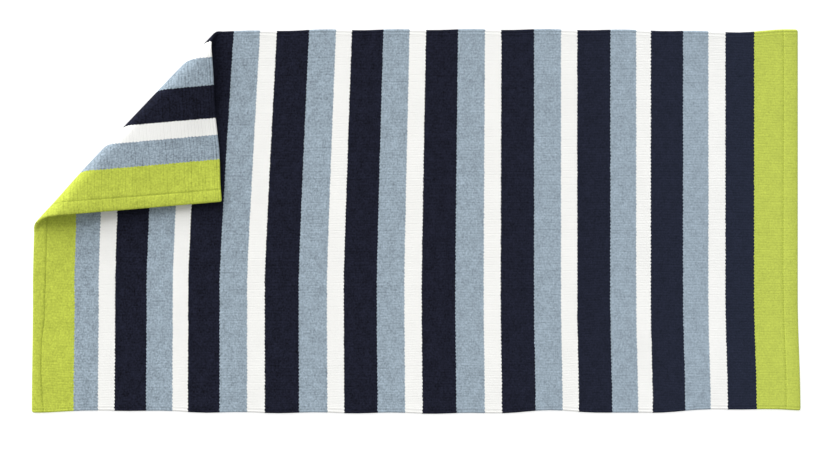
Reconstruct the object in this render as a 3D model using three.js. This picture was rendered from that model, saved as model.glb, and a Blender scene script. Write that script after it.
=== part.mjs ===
// A striped cotton rug, flatwoven in one piece, lying face up with its far left corner folded over on the face.
// Millimetres, +Z up. The length runs along X, the floor is Z = 0, and the origin is under the middle of the
// rug's bounding box. A place in the cloth is given by how far it lies along the length from the left hem, and
// how far down the width from the far selvedge.
import * as THREE from 'three';

// The cloth, as woven and hemmed
const length = 1394;
const width = 696;
const halfThickness = 2;

// The folded corner: where the crease meets the left hem and the far selvedge, measured from the corner
const creaseDownHem = 342;
const creaseAlongSelvedge = 300.5;

// The roll at the crease turns tightly off the floor and softly over the top. It is widest at its open mouth by the
// hem, where its way along the crease is 0, tight along the middle, and opens again by the selvedge.
const rollTable = [
  { way: 0, under: 11, over: 26 },
  { way: 150, under: 6, over: 17 },
  { way: 350, under: 6, over: 17 },
  { way: 470, under: 8, over: 23 },
];

// Past the roll the folded corner comes down to the middle heights in this table. The stiff hem holds it up all the
// way from the mouth to the corner, and at the selvedge it all but touches the face below it.
const settledTable = [
  { way: 0, height: 21 },
  { way: 150, height: 20 },
  { way: 230, height: 18 },
  { way: 290, height: 14 },
  { way: 335, height: 8 },
  { way: 470, height: 8 },
];
const settlingLength = 150;

// The stripes lean to the right near the far selvedge, most of all beside the fold, and spread a little at the
// near selvedge
const leanTable = [
  { along: 0, lean: 13.5 },
  { along: 150, lean: 16.5 },
  { along: 345, lean: 26 },
  { along: 870, lean: 0 },
  { along: length, lean: 0 },
];
const leanReach = 0.65 * width;
const leanPower = 1.1;
const spreadTable = [
  { along: 0, spread: -2 },
  { along: length, spread: 5 },
];
const spreadReach = 0.3 * width;

// How far each selvedge wanders out from its straight line. Both also sway together, first to the far side.
const wanderTable = [
  { along: 0, far: 2, near: 1 },
  { along: 60, far: 1, near: -0.5 },
  { along: 150, far: -1, near: -2.5 },
  { along: 240, far: -2, near: -1 },
  { along: 345, far: -2, near: 1.5 },
  { along: 540, far: 0.5, near: 2 },
  { along: 810, far: 1, near: 3 },
  { along: 950, far: 1, near: -2 },
  { along: 1070, far: 0, near: 2.5 },
  { along: 1290, far: -3.5, near: -5 },
  { along: length, far: 1, near: -2.5 },
];
const swayDepth = 1;
const swayPitch = 140;
const swayStart = 94;

// The stitching draws the corners in a little, and rounds them
const cornerDraw = 1;
const cornerReach = 5;

// How thick the cloth is for its distance in from an end, where a hem is turned and stitched, and in from a
// side, where two thicker warp cords make the selvedge. 1 is the plain weave.
const hemTable = [
  { inset: 0, thick: 0.5 },
  { inset: 1.5, thick: 1.2 },
  { inset: 4, thick: 1.45 },
  { inset: 17.5, thick: 1.45 },
  { inset: 21, thick: 0.95 },
  { inset: 24.5, thick: 1.15 },
  { inset: 34, thick: 1 },
];
const selvedgeTable = [
  { inset: 0, thick: 0.45 },
  { inset: 1, thick: 0.9 },
  { inset: 2.6, thick: 1.2 },
  { inset: 5.2, thick: 0.9 },
  { inset: 8.8, thick: 1.15 },
  { inset: 12.4, thick: 0.95 },
  { inset: 18, thick: 1 },
];

// The mesh: how far the strip that makes the roll reaches from the crease, down the hem and along the selvedge, on
// the folded corner's side and on the other, and how fine it is
const cornerSide = { down: 56, along: 46 };
const fieldSide = { down: 34, along: 26 };
const rollSteps = 24;
const cornerSteps = 8;
const fieldStep = 46;

const cottonColour = 0x9ca8b2;
const cottonRoughness = 0.95;

// Eases from 0 to 1 as share goes from 0 to 1
function ease(share) {
  const held = THREE.MathUtils.clamp(share, 0, 1);
  return held * held * (3 - 2 * held);
}

// Reads one column of a table between its rows, straight or eased
function read(table, place, column, at, blend = (share) => share) {
  if (at <= table[0][place]) return table[0][column];
  const next = table.findIndex((row) => row[place] >= at);
  if (next < 0) return table[table.length - 1][column];
  const [before, after] = [table[next - 1], table[next]];
  const share = blend((at - before[place]) / (after[place] - before[place]));
  return before[column] + (after[column] - before[column]) * share;
}

// How far in a point lies from the nearer end and from the nearer side
function fromEdges(along, down) {
  return { end: Math.min(along, length - along), side: Math.min(down, width - down) };
}

// How far a corner draws a point in from one edge, by its distances from that edge and from the next one
function drawnIn(inset, nextInset) {
  const near = Math.max(0, 1 - inset / cornerReach);
  const nearNext = Math.max(0, 1 - nextInset / cornerReach);
  return cornerDraw * near * nearNext ** 2;
}

// Where a point of the cloth would lie with the corner opened out flat
function openedOut(along, down) {
  const inset = fromEdges(along, down);
  const leaning = Math.max(0, 1 - down / leanReach) ** leanPower;
  const spreading = ease(1 - (width - down) / spreadReach);
  const sway = swayDepth * Math.cos((2 * Math.PI * (along - swayStart)) / swayPitch);
  const farEdge = width / 2 + read(wanderTable, 'along', 'far', along, ease) + sway;
  const nearEdge = -width / 2 - read(wanderTable, 'along', 'near', along, ease) + sway;
  const drawnAlong = Math.sign(length / 2 - along) * drawnIn(inset.end, inset.side);
  const drawnDown = Math.sign(width / 2 - down) * drawnIn(inset.side, inset.end);
  return new THREE.Vector2(
    along - length / 2 + drawnAlong
      + leaning * read(leanTable, 'along', 'lean', along)
      + spreading * read(spreadTable, 'along', 'spread', along),
    THREE.MathUtils.lerp(farEdge, nearEdge, (down + drawnDown) / width),
  );
}

// The crease runs straight from the hem to the selvedge, and inward points away from the folded corner
const creaseStart = openedOut(0, creaseDownHem);
const creaseWay = openedOut(creaseAlongSelvedge, 0).sub(creaseStart).normalize();
const inward = new THREE.Vector2(creaseWay.y, -creaseWay.x);
const quarterTurn = Math.PI / 2;

// A point's way along the crease and its distance inside it, the roll's radii there, where the roll starts, how far
// the cloth has turned over, from 0 on the floor to pi on the folded corner, and how far it then runs past the
// roll. The roll starts where the cloth past it lies as on a sharp crease.
function atCrease(along, down) {
  const flat = openedOut(along, down).sub(creaseStart);
  const way = flat.dot(creaseWay);
  const inside = flat.dot(inward);
  const under = read(rollTable, 'way', 'under', way, ease);
  const over = read(rollTable, 'way', 'over', way, ease);
  const start = (quarterTurn * (under + over) + under - over) / 2;
  const run = start - inside;
  const turnedUnder = THREE.MathUtils.clamp(run / under, 0, quarterTurn);
  const turnedOver = THREE.MathUtils.clamp((run - quarterTurn * under) / over, 0, quarterTurn);
  const past = Math.max(0, run - quarterTurn * (under + over));
  return { way, inside, under, over, start, turned: turnedUnder + turnedOver, past };
}

// The middle of the cloth's thickness: flat on the floor, rolled over at the crease, then lying back over the face
// and settling on it
function middle(along, down) {
  const { way, inside, under, over, start, turned, past } = atCrease(along, down);
  let from = Math.max(inside, start) - under * Math.sin(turned);
  let height = halfThickness + under * (1 - Math.cos(turned));
  if (turned > quarterTurn) {
    from = start - under + over * (1 - Math.sin(turned)) + past;
    height = halfThickness + under - over * Math.cos(turned);
  }
  const settled = read(settledTable, 'way', 'height', way, ease);
  height = THREE.MathUtils.lerp(height, settled, ease(past / settlingLength));
  return new THREE.Vector3(
    creaseStart.x + creaseWay.x * way + inward.x * from,
    creaseStart.y + creaseWay.y * way + inward.y * from,
    height,
  );
}

// The way the woven face looks at a point, square to the cloth
function faceNormal(along, down) {
  const reach = 0.5;
  const alongWay = middle(along + reach, down).sub(middle(along - reach, down));
  const downWay = middle(along, down + reach).sub(middle(along, down - reach));
  return downWay.cross(alongWay).normalize();
}

// The face and the back at a point. Hem and selvedge stand out on both, but the floor presses the back flat.
function bothSides(along, down) {
  const inset = fromEdges(along, down);
  const thick = read(hemTable, 'inset', 'thick', inset.end) * read(selvedgeTable, 'inset', 'thick', inset.side);
  const lifted = ease(atCrease(along, down).turned / Math.PI);
  const centre = middle(along, down);
  const normal = faceNormal(along, down);
  const back = THREE.MathUtils.lerp(1, thick, lifted);
  return {
    face: centre.clone().addScaledVector(normal, halfThickness * thick),
    back: centre.clone().addScaledVector(normal, -halfThickness * back),
  };
}

// Evenly spaced places after one place, up to and with another
function spaced(from, to, count) {
  return Array.from({ length: count }, (_, k) => from + ((to - from) * (k + 1)) / count);
}

// Grid lines for the corner that the crease cuts off at the given distances from the rug's corner. They follow
// the hem and the selvedge, and they pair up, so that every line meets another on the cut.
function cornerLines(cutAlong, cutDown) {
  const hem = hemTable.map((row) => row.inset);
  const selvedge = selvedgeTable.map((row) => cutAlong * (1 - row.inset / cutDown)).reverse();
  const between = spaced(hem[hem.length - 1], selvedge[0], cornerSteps).slice(0, -1);
  const along = [...hem, ...between, ...selvedge];
  const down = along.map((place) => cutDown * (1 - place / cutAlong)).reverse();
  return { along, down };
}

// Grid lines from a corner's last one to the far end of that side, where they follow the edge's table
function onward(from, whole, table) {
  const edge = table.map((row) => whole - row.inset).reverse();
  return [...spaced(from, edge[0], Math.round((edge[0] - from) / fieldStep)), ...edge.slice(1)];
}

const places = [];
const placeNumbers = new Map();
const triangles = [];

function numberOf(along, down) {
  const key = `${along.toFixed(3)} ${down.toFixed(3)}`;
  if (!placeNumbers.has(key)) {
    placeNumbers.set(key, places.length);
    places.push({ along, down });
  }
  return placeNumbers.get(key);
}

// Two triangles for each square of a grid, split the way the crease runs, where all their points are kept
function fillGrid(columns, rows, numberAt, kept) {
  const add = (...corners) => {
    if (corners.every(([i, j]) => kept(i, j))) triangles.push(corners.map(([i, j]) => numberAt(i, j)));
  };
  for (let i = 0; i < columns; i += 1) {
    for (let j = 0; j < rows; j += 1) {
      add([i, j], [i, j + 1], [i + 1, j]);
      add([i + 1, j], [i, j + 1], [i + 1, j + 1]);
    }
  }
}

// The folded corner
const flap = cornerLines(creaseAlongSelvedge - cornerSide.along, creaseDownHem - cornerSide.down);
const cuts = flap.along.length - 1;
fillGrid(cuts, cuts, (i, j) => numberOf(flap.along[i], flap.down[j]), (i, j) => i + j <= cuts);

// The rest of the rug, beyond the crease
const corner = cornerLines(creaseAlongSelvedge + fieldSide.along, creaseDownHem + fieldSide.down);
const field = {
  along: [...corner.along, ...onward(corner.along[corner.along.length - 1], length, hemTable)],
  down: [...corner.down, ...onward(corner.down[corner.down.length - 1], width, selvedgeTable)],
};
fillGrid(
  field.along.length - 1,
  field.down.length - 1,
  (i, j) => numberOf(field.along[i], field.down[j]),
  (i, j) => i + j >= corner.along.length - 1,
);

// The roll between them, its lines joining the ones that end on either side
function onRoll(i, k) {
  const share = k / rollSteps;
  return numberOf(
    THREE.MathUtils.lerp(flap.along[i], corner.along[i], share),
    THREE.MathUtils.lerp(flap.down[cuts - i], corner.down[cuts - i], share),
  );
}
fillGrid(cuts, rollSteps, onRoll, () => true);

// The edge all round joins the face to the back, wherever a triangle has no neighbour
function edgeTriangles(toBack) {
  const sides = new Map();
  for (const [a, b, c] of triangles) {
    for (const [from, to] of [[a, b], [b, c], [c, a]]) sides.set(`${from} ${to}`, [from, to]);
  }
  const open = [...sides.values()].filter(([from, to]) => !sides.has(`${to} ${from}`));
  return open.flatMap(([from, to]) => [
    [to, from, from + toBack],
    [to, from + toBack, to + toBack],
  ]);
}

function rugGeometry() {
  const surfaces = places.map(({ along, down }) => bothSides(along, down));
  const points = [...surfaces.map((side) => side.face), ...surfaces.map((side) => side.back)];
  const toBack = places.length;
  const faces = [
    ...triangles,
    ...triangles.map(([a, b, c]) => [a + toBack, c + toBack, b + toBack]),
    ...edgeTriangles(toBack),
  ];
  const geometry = new THREE.BufferGeometry().setFromPoints(points);
  geometry.setIndex(faces.flat());
  geometry.computeBoundingBox();
  const middleOfBox = geometry.boundingBox.getCenter(new THREE.Vector3());
  geometry.translate(-middleOfBox.x, -middleOfBox.y, 0);
  geometry.computeVertexNormals();
  return geometry;
}

const cotton = new THREE.MeshStandardMaterial({
  color: cottonColour,
  roughness: cottonRoughness,
  metalness: 0,
});

const rug = new THREE.Mesh(rugGeometry(), cotton);
rug.name = 'rug';

const model = new THREE.Group();
model.add(rug);

export default model;
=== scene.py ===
import math
import random

import bmesh
import bpy
import numpy as np
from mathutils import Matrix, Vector


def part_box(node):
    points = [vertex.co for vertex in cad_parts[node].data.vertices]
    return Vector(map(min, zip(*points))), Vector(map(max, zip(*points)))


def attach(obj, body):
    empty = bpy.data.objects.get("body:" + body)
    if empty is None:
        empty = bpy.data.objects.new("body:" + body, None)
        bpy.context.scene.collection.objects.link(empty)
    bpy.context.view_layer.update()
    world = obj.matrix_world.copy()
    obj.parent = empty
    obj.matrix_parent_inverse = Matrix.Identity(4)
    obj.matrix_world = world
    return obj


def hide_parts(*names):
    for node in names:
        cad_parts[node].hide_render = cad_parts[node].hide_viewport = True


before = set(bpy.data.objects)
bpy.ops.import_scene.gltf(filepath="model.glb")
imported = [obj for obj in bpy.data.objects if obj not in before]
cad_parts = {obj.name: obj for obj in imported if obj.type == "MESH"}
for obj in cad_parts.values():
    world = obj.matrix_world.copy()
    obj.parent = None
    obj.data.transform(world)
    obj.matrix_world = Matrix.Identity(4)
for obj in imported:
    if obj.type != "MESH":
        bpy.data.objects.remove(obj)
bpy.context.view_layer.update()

# The woven cloth: one length of weft-faced cotton flatweave, hemmed at both ends and with corded selvedges.
# It lies face up, and its far left corner is turned over on the face. A place in the cloth is given by how
# far it lies along the length from the left hem, and how far down the width from the far selvedge.
mm = 0.001
rug_length = 1394 * mm
rug_width = 696 * mm
half_thickness = 2 * mm

crease_down_hem = 342 * mm
crease_along_selvedge = 300.5 * mm
roll_table = [
    {"way": 0, "under": 11, "over": 26},
    {"way": 150, "under": 6, "over": 17},
    {"way": 350, "under": 6, "over": 17},
    {"way": 470, "under": 8, "over": 23},
]
settled_table = [
    {"way": 0, "height": 21},
    {"way": 150, "height": 20},
    {"way": 230, "height": 18},
    {"way": 290, "height": 14},
    {"way": 335, "height": 8},
    {"way": 470, "height": 8},
]
settling_length = 150 * mm

lean_table = [
    {"along": 0, "lean": 13.5},
    {"along": 150, "lean": 16.5},
    {"along": 345, "lean": 26},
    {"along": 870, "lean": 0},
    {"along": 1394, "lean": 0},
]
lean_reach = 0.65 * rug_width
lean_power = 1.1
spread_table = [
    {"along": 0, "spread": -2},
    {"along": 1394, "spread": 5},
]
spread_reach = 0.3 * rug_width

wander_table = [
    {"along": 0, "far": 2, "near": 1},
    {"along": 60, "far": 1, "near": -0.5},
    {"along": 150, "far": -1, "near": -2.5},
    {"along": 240, "far": -2, "near": -1},
    {"along": 345, "far": -2, "near": 1.5},
    {"along": 540, "far": 0.5, "near": 2},
    {"along": 810, "far": 1, "near": 3},
    {"along": 950, "far": 1, "near": -2},
    {"along": 1070, "far": 0, "near": 2.5},
    {"along": 1290, "far": -3.5, "near": -5},
    {"along": 1394, "far": 1, "near": -2.5},
]
sway_depth = 1 * mm
sway_pitch = 140 * mm
sway_start = 94 * mm
corner_draw = 1 * mm
corner_reach = 5 * mm

# Thickness against the plain weave, by the distance in from an end or from a side, and how much a hem's
# stitched line is in shade
hem_table = [
    {"inset": 0, "thick": 0.5, "shade": 0},
    {"inset": 0.7, "thick": 0.95, "shade": 0},
    {"inset": 1.8, "thick": 1.25, "shade": 0},
    {"inset": 4, "thick": 1.42, "shade": 0},
    {"inset": 10, "thick": 1.48, "shade": 0},
    {"inset": 16.5, "thick": 1.42, "shade": 0},
    {"inset": 18.6, "thick": 1.25, "shade": 0.15},
    {"inset": 20, "thick": 0.85, "shade": 1},
    {"inset": 21.4, "thick": 1.15, "shade": 0.15},
    {"inset": 23.5, "thick": 1.2, "shade": 0},
    {"inset": 27.5, "thick": 1.06, "shade": 0},
    {"inset": 34, "thick": 1, "shade": 0},
]
stitch_inset = 20 * mm
left_line_shade = 1.9
right_line_shade = 0.5

# The hems are sewn by eye, so all of that lies nearer the end or further in, by these shares
hem_wander_table = [
    {"down": 0, "left": 1.1, "right": 1.33},
    {"down": 100, "left": 1.12, "right": 1.32},
    {"down": 250, "left": 1.17, "right": 1.34},
    {"down": 430, "left": 1.15, "right": 1.36},
    {"down": 515, "left": 1.07, "right": 1.32},
    {"down": 575, "left": 0.82, "right": 1.3},
    {"down": 615, "left": 0.81, "right": 1.28},
    {"down": 660, "left": 0.92, "right": 1.3},
    {"down": 696, "left": 1.05, "right": 1.3},
]
selvedge_table = [
    {"inset": 0, "thick": 0.45},
    {"inset": 1, "thick": 0.95},
    {"inset": 2.6, "thick": 1.25},
    {"inset": 5.2, "thick": 1.05},
    {"inset": 8.8, "thick": 1.2},
    {"inset": 12.4, "thick": 1.05},
    {"inset": 18, "thick": 1},
]


def ease(share):
    held = np.clip(share, 0, 1)
    return held * held * (3 - 2 * held)


def read(table, place, column, at, eased=False):
    """One column of a table in millimetres, or in shares, read between its rows at a distance in metres."""
    places = np.array([row[place] for row in table], float) * mm
    values = np.array([row[column] for row in table], float)
    at = np.clip(at, places[0], places[-1])
    row = np.clip(np.searchsorted(places, at), 1, len(places) - 1)
    share = (at - places[row - 1]) / (places[row] - places[row - 1])
    if eased:
        share = ease(share)
    return values[row - 1] + (values[row] - values[row - 1]) * share


def from_edges(along, down):
    """How far in a point lies from the nearer end and from the nearer side."""
    return np.minimum(along, rug_length - along), np.minimum(down, rug_width - down)


def drawn_in(inset, next_inset):
    """How far a corner draws a point in from one edge, by its distances from that edge and from the next."""
    near = np.maximum(0, 1 - inset / corner_reach)
    near_next = np.maximum(0, 1 - next_inset / corner_reach)
    return corner_draw * near * near_next ** 2


def opened_out(along, down):
    """Where a point of the cloth would lie with the corner opened out flat."""
    from_end, from_side = from_edges(along, down)
    drawn_along = np.sign(rug_length / 2 - along) * drawn_in(from_end, from_side)
    drawn_down = np.sign(rug_width / 2 - down) * drawn_in(from_side, from_end)
    leaning = np.maximum(0, 1 - down / lean_reach) ** lean_power
    spreading = ease(1 - (rug_width - down) / spread_reach)
    sway = sway_depth * np.cos(2 * math.pi * (along - sway_start) / sway_pitch)
    far_edge = rug_width / 2 + read(wander_table, "along", "far", along, eased=True) * mm + sway
    near_edge = -rug_width / 2 - read(wander_table, "along", "near", along, eased=True) * mm + sway
    leaned = leaning * read(lean_table, "along", "lean", along) * mm
    spread = spreading * read(spread_table, "along", "spread", along) * mm
    x = along - rug_length / 2 + drawn_along + leaned + spread
    y = far_edge + (near_edge - far_edge) * (down + drawn_down) / rug_width
    return x, y


quarter_turn = math.pi / 2
crease_x, crease_y = opened_out(0, crease_down_hem)
crease_end_x, crease_end_y = opened_out(crease_along_selvedge, 0)
crease_way = Vector((crease_end_x - crease_x, crease_end_y - crease_y)).normalized()
inward = Vector((crease_way.y, -crease_way.x))


def roll_at(way):
    """The roll's radii under and over, and how far inside the crease it starts, at a way along the crease."""
    under = read(roll_table, "way", "under", way, eased=True) * mm
    over = read(roll_table, "way", "over", way, eased=True) * mm
    start = (quarter_turn * (under + over) + under - over) / 2
    return under, over, start


def at_crease(along, down):
    """A point's way along the crease and distance inside it, its turn so far, and its run past the roll."""
    x, y = opened_out(along, down)
    x, y = x - crease_x, y - crease_y
    way = x * crease_way.x + y * crease_way.y
    inside = x * inward.x + y * inward.y
    under, over, start = roll_at(way)
    turned_under = np.clip((start - inside) / under, 0, quarter_turn)
    turned_over = np.clip((start - inside - quarter_turn * under) / over, 0, quarter_turn)
    past = np.maximum(0, start - inside - quarter_turn * (under + over))
    return way, inside, turned_under + turned_over, past


def middle(along, down):
    """The middle of the cloth: flat on the floor, rolled over at the crease, then settling on the face."""
    way, inside, turned, past = at_crease(along, down)
    under, over, start = roll_at(way)
    reach_under = np.maximum(inside, start) - under * np.sin(turned)
    reach_over = start - under + over * (1 - np.sin(turned)) + past
    rise_under = under * (1 - np.cos(turned))
    rise_over = under - over * np.cos(turned)
    reach = np.where(turned > quarter_turn, reach_over, reach_under)
    height = half_thickness + np.where(turned > quarter_turn, rise_over, rise_under)
    settled = read(settled_table, "way", "height", way, eased=True) * mm
    height = height + (settled - height) * ease(past / settling_length)
    x = crease_x + crease_way.x * way + inward.x * reach
    y = crease_y + crease_way.y * way + inward.y * reach
    return np.stack([x, y, height], -1)


def face_normal(along, down):
    """The way the woven face looks, square to the cloth."""
    step = 0.5 * mm
    along_way = middle(along + step, down) - middle(along - step, down)
    down_way = middle(along, down + step) - middle(along, down - step)
    square = np.cross(down_way, along_way)
    return square / np.linalg.norm(square, axis=-1, keepdims=True)


def hem_wander(along, down):
    """How much further in than the table a hem's places lie, as a share."""
    side = np.where(along < rug_length / 2, 0, 1)
    left = read(hem_wander_table, "down", "left", down, eased=True)
    right = read(hem_wander_table, "down", "right", down, eased=True)
    return left + (right - left) * side


# The grooves are deeper on the back, where the wefts aren't worn flat
back_relief = 2.2


def both_sides(along, down, sunk):
    """The face and the back, sunk by a depth between the ribs. The floor presses the back flat."""
    from_end, from_side = from_edges(along, down)
    thick = read(hem_table, "inset", "thick", from_end / hem_wander(along, down))
    thick = thick * read(selvedge_table, "inset", "thick", from_side)
    lifted = ease(at_crease(along, down)[2] / math.pi)
    centre = middle(along, down)
    normal = face_normal(along, down)
    face_depth = half_thickness * thick - sunk
    back_depth = half_thickness * (1 + (thick - 1) * lifted) - back_relief * sunk * lifted
    return centre + normal * face_depth[..., None], centre - normal * back_depth[..., None]


# The ribs: each warp makes one, and each selvedge has two thick cords. Each second groove is the deeper, and
# no two are beaten quite alike.
edge_grooves = [0, 5.2 * mm, 10.6 * mm]
plain_warps = 215
warp_pitch = (rug_width - 2 * edge_grooves[-1]) / plain_warps
groove_depths = (0.07 * mm, 0.16 * mm)
least_beaten = 0.5
most_beaten = 1.4
cord_depth = 0.22 * mm
cord_width = 4 * mm
cord_steps = 5
rib_steps = 3
rib_roundness = 0.5
beating_seed = 12

grooves = edge_grooves[:-1]
grooves += [edge_grooves[-1] + warp_pitch * warp for warp in range(plain_warps + 1)]
grooves += [rug_width - groove for groove in reversed(edge_grooves[:-1])]
beaten = random.Random(beating_seed)
depths = []
for number in range(len(grooves)):
    depths.append(groove_depths[number % 2] * beaten.uniform(least_beaten, most_beaten))
for number in range(1, len(edge_grooves)):
    depths[number] = depths[-1 - number] = cord_depth
depths[0] = depths[-1] = 0

rows = []
for number, (groove, next_groove) in enumerate(zip(grooves, grooves[1:])):
    steps = cord_steps if next_groove - groove > cord_width else rib_steps
    for step in range(steps):
        share = step / steps
        depth = depths[number] if share < 0.5 else depths[number + 1]
        rounding = 1 - math.sin(math.pi * share) ** rib_roundness
        rows.append({"down": groove + (next_groove - groove) * share, "sunk": depth * rounding})
rows.append({"down": rug_width, "sunk": 0})

# Along each rib the mesh is fine only at the hems, over the roll, where the folded corner settles, and along
# the wavy selvedges
turn_steps = 8
corner_step = 28 * mm
corner_end = 345 * mm
selvedge_step = 20 * mm
selvedge_band = 20 * mm
field_step = 70 * mm
closest = 1 * mm
hem_lines = np.array([row["inset"] * mm for row in hem_table])


def roll_places(down):
    """Where one rib's line crosses the roll, at even turns."""
    crease = crease_along_selvedge * (1 - down / crease_down_hem)
    under, over, start = roll_at(at_crease(max(crease, 0), down)[0])
    turns = np.linspace(0, quarter_turn, turn_steps)
    inside = np.concatenate([start - under * turns, start - under * quarter_turn - over * turns[1:]])
    return np.sort(crease + inside / inward.x)


def row_places(down):
    """Where the points of one rib's line stand along the length."""
    near_hem = hem_lines * hem_wander(0, down)
    far_hem = rug_length - hem_lines[::-1] * hem_wander(rug_length, down)
    step = selvedge_step if from_edges(0, down)[1] < selvedge_band else field_step
    corner = np.linspace(near_hem[-1], corner_end, round(corner_end / corner_step))[1:]
    field = np.linspace(corner_end, far_hem[0], round((far_hem[0] - corner_end) / step))[1:-1]
    between = np.concatenate([corner, field])
    roll = roll_places(down)
    between = between[(between < roll[0] - closest) | (between > roll[-1] + closest)]
    roll = roll[(roll > 0) & (np.abs(roll[:, None] - near_hem).min(1) > closest)]
    return np.sort(np.concatenate([near_hem, roll, between, far_hem]))


line_places = [row_places(row["down"]) for row in rows]
line_starts = np.cumsum([0] + [len(places) for places in line_places])
along = np.concatenate(line_places)
down = np.repeat([row["down"] for row in rows], [len(places) for places in line_places])
sunk = np.repeat([row["sunk"] for row in rows], [len(places) for places in line_places])
face, back = both_sides(along, down, sunk)

# Triangles join each line to the next, always from the point that lies further back
triangles = []
for line in range(len(rows) - 1):
    upper, lower = line_places[line], line_places[line + 1]
    upper_start, lower_start = line_starts[line], line_starts[line + 1]
    i = j = 0
    while i < len(upper) - 1 or j < len(lower) - 1:
        step_upper = j == len(lower) - 1 or (i < len(upper) - 1 and upper[i + 1] <= lower[j + 1])
        if step_upper:
            triangles.append((upper_start + i, lower_start + j, upper_start + i + 1))
            i += 1
        else:
            triangles.append((upper_start + i, lower_start + j, lower_start + j + 1))
            j += 1

# The back has the same triangles turned round, and a strip all along the edge joins the two sides
first_points = list(line_starts[:-1])
last_points = [end - 1 for end in line_starts[1:]]
far_side = list(range(first_points[0], last_points[0] + 1))
near_side = list(range(first_points[-1], last_points[-1] + 1))
ring = first_points[:-1] + near_side[:-1] + last_points[:0:-1] + far_side[:0:-1]
to_back = len(along)
faces = [tuple(int(corner) for corner in triangle) for triangle in triangles]
faces += [(a + to_back, c + to_back, b + to_back) for a, b, c in faces]
for a, b in zip(ring, ring[1:] + ring[:1]):
    faces.append((int(b), int(a), int(a) + to_back, int(b) + to_back))

# The cloth is moved along the floor until its middle is over the solid's
points = np.concatenate([face, back])
low, high = points.min(0), points.max(0)
solid_low, solid_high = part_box("rug")
to_solid = (np.array(solid_low) + np.array(solid_high) - low - high) / 2
to_solid[2] = 0
points += to_solid

rug_mesh = bpy.data.meshes.new("woven_rug")
rug_mesh.from_pydata(points.tolist(), [], faces)
cloth_map = rug_mesh.uv_layers.new(name="cloth")
corner_points = np.zeros(len(rug_mesh.loops), int)
rug_mesh.loops.foreach_get("vertex_index", corner_points)
corner_points %= to_back
cloth_places = np.stack([along / rug_length, down / rug_width], -1)
cloth_map.data.foreach_set("uv", cloth_places[corner_points].ravel())

# How much each point is in the shade of a groove or of a hem's stitched line
from_end, from_side = from_edges(along, down)
hem_shade = read(hem_table, "inset", "shade", from_end / hem_wander(along, down))
hem_shade *= np.where(along < rug_length / 2, left_line_shade, right_line_shade)
full_shade_depth = 0.3 * mm
face_shade = np.maximum(sunk / full_shade_depth, hem_shade)
back_shade = np.maximum(back_relief * sunk / full_shade_depth, hem_shade)
shade_map = rug_mesh.attributes.new("shade", "FLOAT", "POINT")
shade_map.data.foreach_set("value", np.concatenate([face_shade, back_shade]))
sharp_edge = math.radians(60)
rug = bpy.data.objects.new("woven_rug", rug_mesh)
bpy.context.scene.collection.objects.link(rug)
bpy.ops.object.select_all(action="DESELECT")
rug.select_set(True)
bpy.context.view_layer.objects.active = rug
bpy.ops.object.shade_smooth_by_angle(angle=sharp_edge)

# The stripes, from the left hem: a green band, then slate, white and navy over and over, and green again.
# Each row is one repeat, with the widths that the weaver beat it to, in millimetres.
first_green = 76 * mm
repeats = [
    {"slate": 44, "white": 30, "navy": 57.5},
    {"slate": 47.5, "white": 28, "navy": 57.5},
    {"slate": 50, "white": 32, "navy": 62},
    {"slate": 51.5, "white": 30.5, "navy": 60.5},
    {"slate": 50, "white": 31.5, "navy": 61.5},
    {"slate": 51.5, "white": 31, "navy": 61},
    {"slate": 49, "white": 29.5, "navy": 60.5},
    {"slate": 47, "white": 26.5, "navy": 59},
    {"slate": 46, "white": 31, "navy": 52.5},
]


def linear(colour):
    """An sRGB hex colour as the linear numbers that a material takes."""
    channels = [int(colour[place:place + 2], 16) / 255 for place in (1, 3, 5)]
    return [c / 12.92 if c <= 0.04045 else ((c + 0.055) / 1.055) ** 2.4 for c in channels]


# Dyed cotton yarn: its colour, and how strongly its shade varies from one length of yarn to the next
yarns = {
    "green": {"colour": "#bbc74e", "mottle": 0.55},
    "slate": {"colour": "#97a6b2", "mottle": 1.0},
    "white": {"colour": "#f1f1ee", "mottle": 0.04},
    "navy": {"colour": "#1b1d2b", "mottle": 1.7},
}
strongest_mottle = max(yarn["mottle"] for yarn in yarns.values())
bands = [("green", first_green)]
for repeat in repeats:
    bands += [(yarn, repeat[yarn] * mm) for yarn in ("slate", "white", "navy")]
bands.append(("green", rug_length - sum(width for yarn, width in bands)))


def add_node(tree, kind, *inputs, named=None, **settings):
    """A node with its settings, and its inputs in order or by name. Each is a value, a socket, or a node
    whose first output is meant."""
    node = tree.nodes.new("ShaderNode" + kind)
    for name, value in settings.items():
        setattr(node, name, value)
    for place, value in [*enumerate(inputs), *(named or {}).items()]:
        if isinstance(value, bpy.types.Node):
            value = value.outputs[0]
        if isinstance(value, bpy.types.NodeSocket):
            tree.links.new(value, node.inputs[place])
        else:
            node.inputs[place].default_value = value
    return node


# Matt weft-faced cotton: the colour follows the wefts, so a stripe's edge is toothed where they pass over
# every second warp, and the shade of the yarn changes in short dashes along the wefts.
cotton = bpy.data.materials.new("woven_cotton")
cotton.use_nodes = True
tree = cotton.node_tree
tree.nodes.clear()
cloth = add_node(tree, "UVMap", uv_map="cloth")
along_share, down_share = add_node(tree, "SeparateXYZ", cloth).outputs[:2]
along_mm = add_node(tree, "Math", along_share, rug_length / mm, operation="MULTIPLY")
down_mm = add_node(tree, "Math", down_share, rug_width / mm, operation="MULTIPLY")

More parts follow.
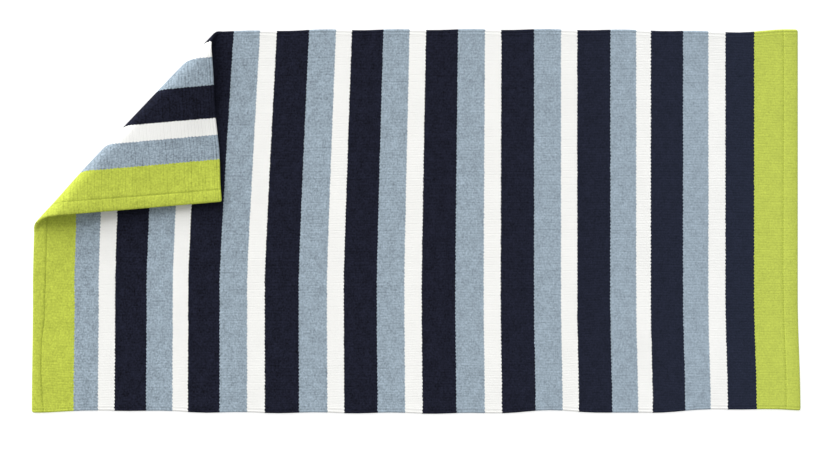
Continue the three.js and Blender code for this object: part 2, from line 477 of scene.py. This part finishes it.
# The cloth is uneven in soft spots, above and below 0. Each kind has its size along and down the cloth in
# millimetres, its strength, and how finely it breaks up. The first moves the stripes' edges, by millimetres.
# Dashes run along the wefts and streaks along the ribs, patches and clouds are yarn that was dyed lighter or
# darker, blotches are the same whatever the yarn, and apart is where the yarns lie wider apart. The fibres of
# cotton are too fine to show, so they are drawn as coarse as this.
warp_mm = warp_pitch / mm
weft_mm = 1.9
spot_table = {
    "edges": {"along": 60, "down": 14, "strength": 2.4, "detail": 2},
    "dashes": {"along": weft_mm, "down": 8, "strength": 0.35, "detail": 2},
    "streaks": {"along": 18, "down": warp_mm, "strength": 0.25, "detail": 2},
    "patches": {"along": 3.6, "down": 3.6, "strength": 0.9, "detail": 2},
    "blotches": {"along": 70, "down": 90, "strength": 0.1, "detail": 2},
    "apart": {"along": 35, "down": 20, "strength": 1, "detail": 2},
    "fibres": {"along": 0.5, "down": 1.6, "strength": 0.5, "detail": 3},
    "clouds": {"along": 15, "down": 22, "strength": 0.45, "detail": 2},
}
spot_roughness = 0.55

# Each kind is cut from the same noise, at a depth of its own, so that no two fall alike
first_depth = 3
next_depth = 4
spots = {}
for number, (name, size) in enumerate(spot_table.items()):
    place = add_node(
        tree,
        "CombineXYZ",
        add_node(tree, "Math", along_mm, 1 / size["along"], operation="MULTIPLY"),
        add_node(tree, "Math", down_mm, 1 / size["down"], operation="MULTIPLY"),
        first_depth + next_depth * number,
    )
    spotted = add_node(
        tree,
        "TexNoise",
        named={"Vector": place, "Scale": 1, "Detail": size["detail"], "Roughness": spot_roughness},
        noise_dimensions="3D",
    )
    about_zero = add_node(tree, "Math", spotted, 0.5, operation="SUBTRACT")
    spots[name] = add_node(tree, "Math", about_zero, size["strength"], operation="MULTIPLY")

# The ribs, counted down the cloth. One wave goes up over a rib and down over the next, one up over each.
rib_start = edge_grooves[-1] / mm
from_first_rib = add_node(tree, "Math", down_mm, rib_start, operation="SUBTRACT")
ribs = add_node(tree, "Math", from_first_rib, 1 / warp_mm, operation="MULTIPLY")
pair_turn = add_node(tree, "Math", ribs, math.pi, operation="MULTIPLY")
pair_wave = add_node(tree, "Math", pair_turn, operation="SINE")
rib_wave = add_node(tree, "Math", pair_wave, operation="ABSOLUTE")

# The toothed edge stands out on one warp and in on the next, and wanders a little
tooth_mm = 0.6
teeth = add_node(tree, "Math", pair_wave, tooth_mm, operation="MULTIPLY")
edge_mm = add_node(tree, "Math", along_mm, teeth, operation="ADD")
edge_mm = add_node(tree, "Math", edge_mm, spots["edges"], operation="ADD")

# A stripe's number counts the stripe edges to its left, and picks its yarn from a ramp with as many steps
stripe_number = 0.5
edge = 0
for yarn, width in bands[:-1]:
    edge += width
    past_edge = add_node(tree, "Math", edge_mm, edge / mm, operation="GREATER_THAN")
    stripe_number = add_node(tree, "Math", past_edge, stripe_number, operation="ADD")
stripe_place = add_node(tree, "Math", stripe_number, 1 / len(bands), operation="MULTIPLY")
stripes = add_node(tree, "ValToRGB", stripe_place)
ramp = stripes.color_ramp
ramp.interpolation = "CONSTANT"
for number, (yarn, width) in enumerate(bands):
    stop = ramp.elements[0] if number == 0 else ramp.elements.new(number / len(bands))
    stop.position = number / len(bands)
    stop.color = (*linear(yarns[yarn]["colour"]), yarns[yarn]["mottle"] / strongest_mottle)
ramp.elements.remove(ramp.elements[-1])

# The dye is more even towards the right end
left_mottle = 1.35
right_mottle = 0.8
mottle_there = add_node(
    tree,
    "Math",
    along_share,
    right_mottle - left_mottle,
    left_mottle,
    operation="MULTIPLY_ADD",
)
mottle = add_node(tree, "Math", stripes.outputs["Alpha"], mottle_there, operation="MULTIPLY")
mottle = add_node(tree, "Math", mottle, strongest_mottle, operation="MULTIPLY")

# On each rib the wefts make a row of beads, half a weft on from the next rib's, each with its own shade
half_weft = 0.5
rib_number = add_node(tree, "Math", ribs, operation="FLOOR")
wefts = add_node(tree, "Math", along_mm, 1 / weft_mm, operation="MULTIPLY")
shifted = add_node(tree, "Math", rib_number, half_weft, operation="MULTIPLY")
bead_place = add_node(tree, "Math", wefts, shifted, operation="ADD")
bead_turn = add_node(tree, "Math", bead_place, math.pi, operation="MULTIPLY")
bead_wave = add_node(tree, "Math", bead_turn, operation="SINE")
beads = add_node(tree, "Math", bead_wave, operation="ABSOLUTE")
bead_number = add_node(tree, "Math", bead_place, operation="FLOOR")
bead_numbers = add_node(tree, "CombineXYZ", bead_number, rib_number)
bead_value = add_node(tree, "TexWhiteNoise", named={"Vector": bead_numbers}, noise_dimensions="2D")
bead_shade = add_node(tree, "Math", bead_value, 0.5, operation="SUBTRACT")

# The yarn's shade, which is as uneven as its mottle
bead_strength = 0.2
yarn_shade = add_node(tree, "Math", bead_shade, bead_strength, operation="MULTIPLY")
for name in ("dashes", "streaks", "patches", "clouds"):
    yarn_shade = add_node(tree, "Math", yarn_shade, spots[name], operation="ADD")
yarn_shade = add_node(tree, "Math", yarn_shade, mottle, operation="MULTIPLY")

# The grooves and the hems' stitched lines are in shade, the more the wider the yarns lie apart. It shows
# least on the yarns with the least mottle.
usual_gap = 0.75
least_groove = 0.15
groove_strength = 0.22
shade_read = add_node(tree, "Attribute", attribute_name="shade").outputs["Fac"]
apart = add_node(tree, "Math", spots["apart"], usual_gap, operation="ADD")
groove_shade = add_node(tree, "Math", shade_read, apart, operation="MULTIPLY")
groove_share = add_node(tree, "Math", mottle, least_groove, operation="ADD")
groove_shade = add_node(tree, "Math", groove_shade, groove_share, operation="MULTIPLY")
groove_shade = add_node(tree, "Math", groove_shade, groove_strength, operation="MULTIPLY")
shade = add_node(tree, "Math", yarn_shade, spots["blotches"], operation="ADD")
shade = add_node(tree, "Math", shade, groove_shade, operation="SUBTRACT")
shade = add_node(tree, "Math", shade, 1, operation="ADD")
shaded = add_node(tree, "VectorMath", stripes, named={"Scale": shade}, operation="SCALE")

# Towards the right end a little pale blue is mixed into the colour: painted sheen, as of a bluish light
# falling on that end
sheen_start = 800
sheen_length = 600
sheen_strength = 0.02
right_end_sheen = add_node(
    tree,
    "Math",
    along_mm,
    1 / sheen_length,
    -sheen_start / sheen_length,
    operation="MULTIPLY_ADD",
    use_clamp=True,
)
right_end_sheen = add_node(tree, "Math", right_end_sheen, sheen_strength, operation="MULTIPLY")
sheened_colour = add_node(
    tree,
    "Mix",
    named={"Factor": right_end_sheen, 6: shaded, 7: (*linear("#a9c9ff"), 1)},
    data_type="RGBA",
).outputs[2]

# The beads and the fibres are also felt as relief
bead_relief = 0.7
bead_height = add_node(tree, "Math", beads, rib_wave, operation="MULTIPLY")
bead_height = add_node(tree, "Math", bead_height, bead_relief, operation="MULTIPLY")
relief = add_node(tree, "Math", bead_height, spots["fibres"], operation="ADD")
bump = add_node(tree, "Bump", named={"Strength": 0.6, "Distance": 0.35 * mm, "Height": relief})
surface = add_node(
    tree,
    "BsdfPrincipled",
    named={
        "Base Color": sheened_colour,
        "Roughness": 0.95,
        "IOR": 1.5,
        "Specular IOR Level": 0.1,
        "Normal": bump,
    },
)
add_node(tree, "OutputMaterial", surface)
rug_mesh.materials.append(cotton)

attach(rug, "root")
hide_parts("rug")

# The hem stitching: one row of plain machine stitches in green cotton thread along the inner edge of each
# hem, seen on the face and on the back. One stitch is modelled, with its ends drawn down into the cloth, and
# then set again and again along the rows.
stitch_pitch = 4.4 * mm
stitch_length = 3.6 * mm
thread_radius = 0.42 * mm
thread_sides = 8
straight_share = 0.55
end_thinning = 0.3
end_drop = 0.8 * thread_radius
squarely = 0.9
bpy.ops.object.select_all(action="DESELECT")
bpy.ops.mesh.primitive_cylinder_add(
    vertices=thread_sides,
    radius=thread_radius,
    depth=stitch_length * straight_share,
    rotation=(0, quarter_turn, 0),
)
stitch = bpy.context.object
bpy.ops.object.transform_apply(location=True, rotation=True, scale=True)
bpy.ops.object.mode_set(mode="EDIT")
end_length = stitch_length * (1 - straight_share) / 2
for side in (-1, 1):
    # The end face is the one that looks squarely along the stitch
    bpy.ops.mesh.select_all(action="DESELECT")
    edited = bmesh.from_edit_mesh(stitch.data)
    for end_face in edited.faces:
        end_face.select_set(end_face.normal.x * side > squarely)
    bmesh.update_edit_mesh(stitch.data)
    way = (side * end_length, 0, -end_drop)
    bpy.ops.mesh.extrude_region_move(TRANSFORM_OT_translate={"value": way})
    end_place = (side * stitch_length / 2, 0, -end_drop)
    bpy.ops.transform.resize(value=(1, end_thinning, end_thinning), center_override=end_place)
bpy.ops.object.mode_set(mode="OBJECT")
stitch_points = np.array([point.co[:] for point in stitch.data.vertices])

# Extruding gives the faces in an order that differs from run to run, so they are put in order here, each from
# its lowest corner round
stitch_faces = []
for face in stitch.data.polygons:
    corners = list(face.vertices)
    lowest = corners.index(min(corners))
    stitch_faces.append(corners[lowest:] + corners[:lowest])
stitch_faces.sort()
bpy.data.objects.remove(stitch)

# Each row starts a stitch and a half in from the selvedge, and no stitch is set quite true. On the face the
# thread's middle stands over the cloth by a share of its radius. On the back the thread is sunk in, and flush
# where the floor presses it.
first_stitch = 1.5
stitch_slip = 0.3 * mm
seam_wobble = 0.15 * mm
thread_rise = 0.35
sewing_seed = 5
seam_points = []
seam_faces = []
stitch_count = int((rug_width - 2 * stitch_pitch) / stitch_pitch)
sewn = random.Random(sewing_seed)
for end in (0, rug_length):
    for number in range(stitch_count):
        down = (number + first_stitch) * stitch_pitch + sewn.uniform(-stitch_slip, stitch_slip)
        inset = stitch_inset * float(hem_wander(end, down)) + sewn.uniform(-seam_wobble, seam_wobble)
        along = inset if end == 0 else rug_length - inset
        here = np.array([along]), np.array([down])
        face_place, back_place = both_sides(*here, np.zeros(1))
        normal = face_normal(*here)[0]
        seam_way = (middle(here[0], here[1] + mm) - middle(here[0], here[1] - mm))[0]
        seam_way /= np.linalg.norm(seam_way)
        lifted = ease(at_crease(*here)[2][0] / math.pi)
        face_rise = thread_radius * thread_rise
        back_rise = thread_radius * (thread_rise * lifted - 1)
        for place, out, rise in ((face_place[0], normal, face_rise), (back_place[0], -normal, back_rise)):
            turn = np.stack([seam_way, np.cross(out, seam_way), out])
            seam_faces += [[corner + len(seam_points) for corner in face] for face in stitch_faces]
            seam_points += list(place + out * rise + stitch_points @ turn + to_solid)

seam_mesh = bpy.data.meshes.new("hem_stitching")
seam_mesh.from_pydata([tuple(point) for point in seam_points], [], seam_faces)
seam = bpy.data.objects.new("hem_stitching", seam_mesh)
bpy.context.scene.collection.objects.link(seam)
bpy.ops.object.select_all(action="DESELECT")
seam.select_set(True)
bpy.context.view_layer.objects.active = seam
bpy.ops.object.shade_smooth_by_angle(angle=sharp_edge)

# Spun cotton thread in the cloth's green, its colour a little darker as painted shade of the groove it lies
# in. Its twist shows as slanted bumps, one for every one and a half widths of the thread. The wave's slanted
# bands repeat each 2 pi / 10 at a scale of 1.
twist_pitch = 1.26 * mm
band_repeat = 2 * math.pi / 10
thread_paint = bpy.data.materials.new("cotton_thread")
thread_paint.use_nodes = True
thread_tree = thread_paint.node_tree
thread_tree.nodes.clear()
thread_place = add_node(thread_tree, "TexCoord").outputs["Object"]
twist = add_node(
    thread_tree,
    "TexWave",
    named={"Vector": thread_place, "Scale": band_repeat / twist_pitch, "Distortion": 1},
    wave_type="BANDS",
    bands_direction="DIAGONAL",
).outputs["Fac"]
thread_bump = add_node(
    thread_tree,
    "Bump",
    named={"Strength": 0.5, "Distance": 0.15 * mm, "Height": twist},
)
thread_surface = add_node(
    thread_tree,
    "BsdfPrincipled",
    named={
        "Base Color": (*linear("#a3b03f"), 1),
        "Roughness": 0.85,
        "IOR": 1.5,
        "Specular IOR Level": 0.2,
        "Normal": thread_bump,
    },
)
add_node(thread_tree, "OutputMaterial", thread_surface)
seam_mesh.materials.append(thread_paint)

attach(seam, "root")

# The floor is a plain pale table that reaches well past the view, just under the cloth. It throws back less
# light on the cloth than a white one would, and glows a little, as a photographer's light table does, so that
# it comes out white up to the cloth.
floor_size = 8
floor_gap = 0.3 * mm
bpy.ops.object.select_all(action="DESELECT")
bpy.ops.mesh.primitive_plane_add(size=floor_size, location=(0, 0, -floor_gap))
floor = bpy.context.object
floor.name = "floor"
bpy.ops.object.transform_apply(location=True, rotation=True, scale=True)
floor_paint = bpy.data.materials.new("pale_floor")
floor_paint.use_nodes = True
floor_surface = floor_paint.node_tree.nodes["Principled BSDF"]
floor_surface.inputs["Base Color"].default_value = (*linear("#b4b4b4"), 1)
floor_surface.inputs["Emission Color"].default_value = (*linear("#ffffff"), 1)
floor_surface.inputs["Emission Strength"].default_value = 0.7
floor_surface.inputs["Roughness"].default_value = 0.9
floor_surface.inputs["Specular IOR Level"].default_value = 0.1
floor.data.materials.append(floor_paint)

# Soft even light from all round, and a broad soft light from the far left, so that the folded corner shades
# what lies on its near right side
scene = bpy.context.scene
scene.view_settings.view_transform = "Standard"
world = bpy.data.worlds.new("soft_surround")
world.use_nodes = True
surround = world.node_tree.nodes["Background"]
surround.inputs["Color"].default_value = (*linear("#ffffff"), 1)
surround.inputs["Strength"].default_value = 0.52
scene.world = world

broad_data = bpy.data.lights.new("broad_light", "SUN")
broad_data.energy = 3.8
broad_data.angle = math.radians(70)
broad = bpy.data.objects.new("broad_light", broad_data)
broad_from = Vector((-0.6, 0.95, 0.55))
broad.rotation_euler = broad_from.to_track_quat("Z", "Y").to_euler()
scene.collection.objects.link(broad)

# The camera looks straight down, as in the photo. The picture is 828 pixels wide, and the rug as it lies is
# 768.3 of them long. Its middle lies a little right of and above the picture's middle.
picture_width = 828
rug_pixels = 768.3
rug_as_it_lies = rug_length + 7 * mm
pixel = rug_as_it_lies / rug_pixels
middle_right = 2.15 * pixel
middle_up = 5.15 * pixel
lens = 135
film = 36
camera_data = bpy.data.cameras.new("camera")
camera_data.lens = lens
camera_data.sensor_width = film
camera_data.clip_end = 20
camera = bpy.data.objects.new("camera", camera_data)
camera.location = (-middle_right, -middle_up, picture_width * pixel * lens / film)
scene.collection.objects.link(camera)
scene.camera = camera
